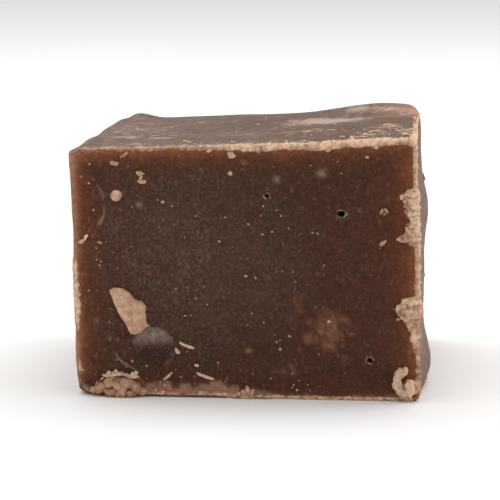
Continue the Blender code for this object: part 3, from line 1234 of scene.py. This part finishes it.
# The low paleness of the mass and of its shavings is partly their own brown and partly painted shade of the place they
# lie in.
PETALS = (
    petal(-0.2, 0.1, 0.1, (1.15, 0.75, 0.5), 5, 25, 0.0),
    petal(-0.85, 0.15, 0.35, (0.75, 0.5, 0.5), 35, 20, 0.3),
    petal(0.75, 0.1, 0.35, (0.85, 0.55, 0.55), -15, 30, 0.25),
    petal(1.55, -0.25, 0.35, (0.6, 0.55, 0.5), -35, 30, 0.2),
    petal(-1.75, -0.35, 0.2, (0.65, 0.45, 0.45), 28, 20, 0.2),
    petal(-2.35, -0.6, 0.15, (0.4, 0.33, 0.3), 20, 0, 0.25),
    petal(0.25, -0.7, 0.4, (0.65, 0.5, 0.55), 60, 20, 0.3),
    petal(1.1, -0.85, 0.35, (0.55, 0.4, 0.45), 10, 0, 0.15),
    petal(-0.7, -0.75, 0.35, (0.7, 0.4, 0.5), -12, 0, 0.15),
    petal(2.15, -0.7, 0.2, (0.45, 0.35, 0.35), -20, 0, 0.3),
    petal(-0.15, -0.15, 0.6, (0.5, 0.3, 0.3), -30, 10, 0.5),
)

# The pale crumbs along the cluster's top: across and up from its middle, half length, paleness.
FRINGE = (
    (-1.35, 0.75, 0.22, 0.9), (-1.0, 0.95, 0.28, 1.0), (-0.6, 0.92, 0.26, 0.9), (-0.25, 1.05, 0.3, 1.0),
    (0.2, 0.98, 0.26, 0.8), (0.7, 0.85, 0.2, 0.9), (1.2, 0.8, 0.34, 1.1), (1.55, 1.0, 0.25, 1.1),
    (1.7, 0.7, 0.2, 0.9), (1.0, 0.6, 0.22, 0.8), (-1.6, 0.45, 0.18, 0.7), (-2.1, 0.0, 0.2, 0.5),
)


def crumb_cluster():
    """The mass of folded shavings at the front face's lower left."""
    heap = Heap()
    place = landing(FRONT, -11.1, 1.2)

    def put(solid, across, up, out, pale, turn=0.0, tilt=0.0):
        shift = Matrix.Translation((across, up, out))
        turned = Matrix.Rotation(radians(turn), 4, "Z") @ Matrix.Rotation(radians(tilt), 4, "X")
        heap.add(solid, place @ shift @ turned, pale)

    put(crumb((2.3, 0.95, 0.25), 0.3, 1.0, 5), 0.0, -0.15, 0.0, 0.1)
    for number, (across, up, out, radii, turn, tilt, pale) in enumerate(PETALS):
        put(crumb(radii, 0.33, 2.0 + number, 5), across, up, out, pale + 0.3, turn, tilt)
    for number, (across, up, long, pale) in enumerate(FRINGE):
        put(crumb((long, 0.6 * long, 0.6 * long), 0.5, 20.0 + number, 3), across, up, 0.15, pale, 40 * number)
    put(horn(1.55, 50, 128, 0.13, 0.3, 3.0), 0.05, -0.6, 0.4, 0.85)
    for number in range(9):
        across = -1.1 + 0.28 * number
        lift = 0.98 - 0.25 * (across + 0.05) ** 2
        put(crumb((0.17, 0.13, 0.13), 0.5, number, 3), across, lift, 0.35, 1.1)
    put(crumb((0.3, 0.17, 0.15), 0.5, 3.0, 3), 1.35, 0.75, 0.25, 1.1, -25)
    put(crumb((0.22, 0.14, 0.12), 0.5, 4.0, 3), 1.55, 1.0, 0.2, 1.1, 25)
    heap.points = [Vector((p.x, p.y, max(p.z, 0.0))) for p in heap.points]
    heap.piece("crumb_cluster", flake_material)


FINGERS = (
    # across from the tuft's middle, turn from the right, length, thickness
    (-0.9, 165, 0.4, 0.2),
    (-0.5, 130, 0.5, 0.24),
    (-0.15, 112, 0.65, 0.26),
    (0.15, 96, 0.95, 0.3),
    (0.4, 75, 0.7, 0.3),
    (0.9, 20, 0.55, 0.16),
    (1.5, 5, 0.6, 0.14),
)


def coral_tuft():
    """A little tuft of stubby crumbs on the bottom edge."""
    heap = Heap()
    place = landing(FRONT, 0.7, 0.25, sink=-0.1)
    for number, (across, turn, long, thick) in enumerate(FINGERS):
        root = place @ Matrix.Translation((across, 0.0, 0.0)) @ Matrix.Rotation(radians(turn), 4, "Z")
        finger = crumb((0.6 * long, 0.75 * thick, 0.65 * thick), 0.5, number, 4)
        heap.add(finger, root @ Matrix.Translation((long / 2, 0.0, 0.0)), 0.75)
    heap.add(crumb((0.85, 0.25, 0.2), 0.4, 3.0, 4), place @ Matrix.Translation((-0.1, 0.0, 0.0)), 0.65)
    heap.piece("coral_tuft", crust_material)


ROUND_CRUMBS = (
    # across, up, radius, paleness
    (11.6, 22.4, 0.17, 0.6), (-13.7, 21.5, 0.11, 0.6), (-14.5, 20.35, 0.11, 0.4), (-13.8, 19.75, 0.12, 0.5),
    (5.0, 1.4, 0.1, 0.5), (5.3, 0.9, 0.12, 0.8), (6.3, 1.4, 0.09, 0.3), (6.5, 0.9, 0.09, 0.4),
    (6.5, 21.6, 0.1, 0.3), (9.3, 20.9, 0.11, 0.4), (-5.4, 1.9, 0.12, 0.3), (-5.9, 2.6, 0.1, 0.3),
)


def round_crumbs():
    heap = Heap()
    heap.add(crumb((0.54, 0.53, 0.36), 0.12, 1.0, 4), landing(FRONT, -11.3, 18.65), 0.8)
    for across, up, size, pale in ROUND_CRUMBS:
        heap.add(crumb((size, 0.9 * size, 0.6 * size), 0.2, across, 3), landing(FRONT, across, up), pale)
    heap.piece("round_crumbs", crust_material)


Bit = namedtuple("Bit", "across up long wide turn pale")
FRONT_FLAKES = (
    Bit(-9.05, 20.7, 0.7, 0.45, 0, 0.7), Bit(-9.0, 20.3, 0.5, 0.34, 80, 0.6), Bit(-8.9, 19.95, 0.75, 0.38, -5, 0.65),
    Bit(-11.4, 21.6, 0.8, 0.42, -15, 0.5), Bit(-10.5, 22.35, 0.85, 0.32, 38, 0.45),
    Bit(-14.5, 14.35, 0.75, 0.3, 30, 0.8), Bit(-14.1, 14.75, 0.7, 0.3, 65, 0.9),
    Bit(-0.7, 22.4, 0.75, 0.55, -10, 0.85), Bit(-2.8, 22.8, 0.5, 0.32, 20, 0.65), Bit(-0.8, 20.8, 0.42, 0.38, 30, 0.8),
    Bit(12.95, 17.5, 0.55, 0.26, 60, 0.35), Bit(13.35, 17.6, 0.5, 0.24, 120, 0.4), Bit(13.2, 17.25, 0.3, 0.24, 0, 0.3),
    Bit(13.1, 14.65, 0.65, 0.36, 45, 0.5), Bit(3.0, 15.5, 0.2, 0.15, 0, 0.8),
    Bit(-3.9, 3.05, 0.4, 0.33, 0, 0.9), Bit(-5.7, 4.35, 0.6, 0.35, -60, 0.8),
    Bit(8.2, 7.3, 0.3, 0.25, 0, 0.8),
)
RIGHT_FLAKES = (
    Bit(-9.0, 12.5, 1.4, 0.6, 95, 0.8), Bit(-5.5, 6.0, 0.9, 0.35, 80, 0.7), Bit(2.0, 9.0, 0.5, 0.3, 20, 0.7),
    Bit(-11.0, 5.2, 0.8, 0.4, 70, 0.7), Bit(7.0, 18.0, 0.9, 0.5, 30, 0.7), Bit(4.0, 3.0, 0.8, 0.4, 60, 0.6),
)
LEFT_FLAKES = (
    Bit(-2.0, 16.5, 0.9, 0.35, 45, 0.6), Bit(9.0, 14.0, 0.5, 0.3, 80, 0.5), Bit(-8.0, 6.0, 0.8, 0.5, 100, 0.4),
    Bit(4.0, 5.5, 0.5, 0.3, 90, 0.45), Bit(11.5, 2.5, 0.9, 0.6, 20, 0.6),
)
BACK_FLAKES = (
    Bit(-6.0, 15.0, 1.1, 0.6, 30, 0.55), Bit(5.0, 7.0, 0.7, 0.4, 70, 0.6), Bit(9.5, 17.5, 0.6, 0.35, 10, 0.8),
    Bit(-10.0, 5.0, 0.9, 0.5, 110, 0.5), Bit(1.0, 19.0, 0.5, 0.3, 50, 0.8),
)
TOP_FLAKES = (
    Bit(4.0, -13.5, 0.4, 0.3, 10, 1.0), Bit(-5.2, -11.2, 0.4, 0.3, 0, 1.0), Bit(9.0, -11.0, 0.5, 0.3, 30, 1.0),
)


def random_outline(generator, long, wide):
    """A flake's outline: a polygon of six to nine uneven corners."""
    corners = generator.randint(6, 9)
    points = []
    for corner in range(corners):
        angle = tau * (corner + generator.uniform(-0.3, 0.3)) / corners
        reach = generator.uniform(0.6, 1.2)
        points.append((0.6 * long * reach * cos(angle), 0.6 * wide * reach * sin(angle)))
    return points


def flakes():
    heap = Heap()
    generator = Random(4)
    for face, bits in (
        (FRONT, FRONT_FLAKES), (RIGHT, RIGHT_FLAKES), (LEFT, LEFT_FLAKES), (BACK, BACK_FLAKES), (TOP, TOP_FLAKES)
    ):
        for bit in bits:
            outline = random_outline(generator, bit.long, bit.wide)
            thickness = (0.3 if face == FRONT else 0.15) * bit.wide + 0.06
            solid = plate(polygon_reach(outline), thickness, bit.across, 7, 36, 0.5)
            heap.add(solid, landing(face, bit.across, bit.up, bit.turn), bit.pale)
    heap.piece("flakes", crust_material)


Shaving = namedtuple("Shaving", "right back bend start end thick pale")
SHAVINGS = (
    Shaving(12.8, -3.6, 0.35, 20, 200, 0.09, 1.1), Shaving(13.4, -4.6, 0.3, 200, 330, 0.08, 1.0),
    Shaving(11.9, -8.6, 0.6, 20, 170, 0.11, 1.1), Shaving(11.3, -10.0, 0.35, 100, 300, 0.1, 1.1),
    Shaving(10.2, -12.0, 0.35, 60, 250, 0.1, 1.1), Shaving(10.9, -12.8, 0.5, 20, 130, 0.1, 1.1),
    Shaving(9.8, -14.2, 0.35, 300, 460, 0.13, 1.1), Shaving(12.0, -14.4, 0.4, 150, 350, 0.12, 1.1),
    Shaving(13.2, -14.8, 0.45, 20, 160, 0.12, 1.1), Shaving(14.6, -8.6, 0.5, 60, 200, 0.1, 1.1),
    Shaving(15.0, -7.4, 0.4, 250, 420, 0.09, 1.0), Shaving(15.2, -11.8, 0.5, 120, 300, 0.12, 1.1),
    Shaving(7.7, -7.4, 1.4, 75, 110, 0.07, 1.1), Shaving(6.2, -5.4, 0.5, 60, 150, 0.09, 0.8),
    Shaving(-5.5, -10.9, 0.3, 40, 220, 0.1, 1.0), Shaving(-9.8, -12.6, 0.4, 60, 180, 0.09, 1.0),
    Shaving(-9.2, -5.8, 1.2, 75, 112, 0.06, 1.0), Shaving(-7.4, -6.1, 1.2, 75, 110, 0.06, 1.0),
    Shaving(8.2, -15.0, 0.45, 20, 200, 0.11, 1.0), Shaving(0.8, -15.3, 0.4, 200, 340, 0.1, 1.0),
)


def shavings():
    """Small curled shavings on the poured top, most of them near its front right corner."""
    heap = Heap()
    for number, shaving in enumerate(SHAVINGS):
        solid = horn(shaving.bend, shaving.start, shaving.end, shaving.thick, shaving.thick, number, 20, 10)
        heap.add(solid, landing(TOP, shaving.right, shaving.back, sink=-0.5 * shaving.thick), shaving.pale)
    heap.piece("shavings", crust_material)


NEEDLES = (
    (FRONT, Bit(-4.85, 4.85, 1.5, 0.3, -22, 1.0)), (FRONT, Bit(-3.15, 2.0, 1.75, 0.3, -19, 1.0)),
    (FRONT, Bit(-6.6, 1.95, 1.2, 0.25, 42, 0.75)), (LEFT, Bit(3.0, 9.5, 3.4, 0.5, 72, 0.35)),
    (LEFT, Bit(-3.5, 13.0, 1.0, 0.5, 40, 0.6)), (BACK, Bit(3.0, 12.0, 2.2, 0.3, 30, 0.6)),
    (RIGHT, Bit(6.0, 12.0, 1.6, 0.3, 100, 0.6)),
    (FRONT, Bit(-2.4, 1.3, 0.7, 0.07, 112, 0.4)), (FRONT, Bit(-1.7, 1.5, 0.8, 0.06, 75, 0.35)),
    (FRONT, Bit(-1.3, 1.6, 1.0, 0.06, 58, 0.35)), (FRONT, Bit(-2.0, 1.1, 0.6, 0.07, 140, 0.4)),
)


def needles():
    heap = Heap()
    for number, (face, bit) in enumerate(NEEDLES):
        solid = sliver(bit.long, bit.wide, 0.05, number)
        heap.add(solid, landing(face, bit.across, bit.up, bit.turn, sink=-0.15 * bit.wide), bit.pale)
    heap.piece("needles", crust_material)


LOOSE_CRUMBS = (
    # face, how many, the area they lie in: middle across and up, half width and half height
    (FRONT, 45, (-2.0, 11.5), (12.5, 11.0)),
    (RIGHT, 60, (0.0, 11.0), (15.5, 10.5)),
    (LEFT, 40, (0.0, 11.0), (15.0, 10.5)),
    (BACK, 60, (0.0, 11.0), (14.0, 10.5)),
    (TOP, 40, (0.0, -2.0), (14.0, 12.0)),
    (TOP, 120, (4.0, -14.5), (11.0, 1.6)),
    (TOP, 60, (12.5, -9.0), (2.8, 6.0)),
    (FRONT, 70, (-3.0, 9.5), (10.5, 8.5)),
)

# How much paler the loose crumbs are on these faces.
PALER = {TOP[:]: 0.4, FRONT[:]: 0.2}


def loose_crumbs():
    """Tiny crumbs scattered over the faces."""
    heap = Heap()
    generator = Random(9)
    for face, count, middle, half in LOOSE_CRUMBS:
        for _ in range(count):
            across = middle[0] + half[0] * generator.uniform(-1, 1)
            up = middle[1] + half[1] * generator.uniform(-1, 1)
            size = generator.uniform(0.05, 0.1) * (1 + generator.random() ** 4)
            radii = (size, size * generator.uniform(0.6, 1.0), size * 0.6)
            solid = crumb(radii, 0.5, generator.uniform(0, 50), 2)
            pale = generator.uniform(0.0, 0.8) + PALER.get(face[:], 0.0)
            heap.add(solid, landing(face, across, up, generator.uniform(0, 180)), pale)
    heap.piece("loose_crumbs", crust_material)


# ---------------------------------------------------------------- stage

VIEW_AZIMUTH = 5.7
VIEW_ELEVATION = 8.1
VIEW_DISTANCE = 252.5
LENS = 186.5
VIEW_AIM = Vector((-1.4, 0.0, -0.9))
FLOOR_RADIUS = 3.0


def floor():
    plain = Shader("floor")
    tone = plain.clouds(60.0, detail=2.0)
    colour = plain.mix(tone, linear(236, 235, 233), linear(240, 239, 238))
    material = plain.finish(colour, 0.8, plain.bumped(tone, 0.01, 0.1), specular=0.1, scattering=0.0)
    mesh = bpy.data.meshes.new("floor")
    disc = bmesh.new()
    bmesh.ops.create_circle(disc, cap_ends=True, radius=FLOOR_RADIUS, segments=96)
    disc.to_mesh(mesh)
    disc.free()
    mesh.materials.append(material)
    made = bpy.data.objects.new("floor", mesh)
    bpy.context.scene.collection.objects.link(made)


def area_light(name, place, size, power):
    """A soft square light that looks at the block."""
    light = bpy.data.lights.new(name, "AREA")
    light.size = size
    light.energy = power
    made = bpy.data.objects.new(name, light)
    made.location = place
    made.rotation_mode = "QUATERNION"
    made.rotation_quaternion = (MIDDLE * MM - Vector(place)).to_track_quat("-Z", "Y")
    bpy.context.scene.collection.objects.link(made)


def surroundings():
    world = bpy.data.worlds.new("studio")
    world.use_nodes = True
    background = world.node_tree.nodes["Background"]
    background.inputs["Color"].default_value = (1.0, 1.0, 1.0, 1.0)
    background.inputs["Strength"].default_value = 0.8
    bpy.context.scene.world = world
    area_light("top_light", (0.0, 0.15, 0.5), 0.5, 1.5)
    area_light("left_light", (-0.5, 0.15, 0.2), 0.4, 0.7)
    area_light("right_light", (0.5, 0.15, 0.2), 0.4, 0.9)
    bpy.context.scene.view_settings.view_transform = "Standard"


def camera():
    lens = bpy.data.cameras.new("camera")
    lens.lens = LENS
    lens.clip_start = 0.01
    made = bpy.data.objects.new("camera", lens)
    turn, rise = radians(VIEW_AZIMUTH), radians(VIEW_ELEVATION)
    back = Vector((sin(turn) * cos(rise), -cos(turn) * cos(rise), sin(rise)))
    made.location = (MIDDLE + VIEW_AIM + back * VIEW_DISTANCE) * MM
    made.rotation_mode = "QUATERNION"
    made.rotation_quaternion = (-back).to_track_quat("-Z", "Y")
    bpy.context.scene.collection.objects.link(made)
    bpy.context.scene.camera = made


camera()
floor()
surroundings()
fudge_body()
crusts()
crust_grains()
shavings()
big_chip()
edge_curl()
crumb_cluster()
coral_tuft()
round_crumbs()
flakes()
needles()
loose_crumbs()
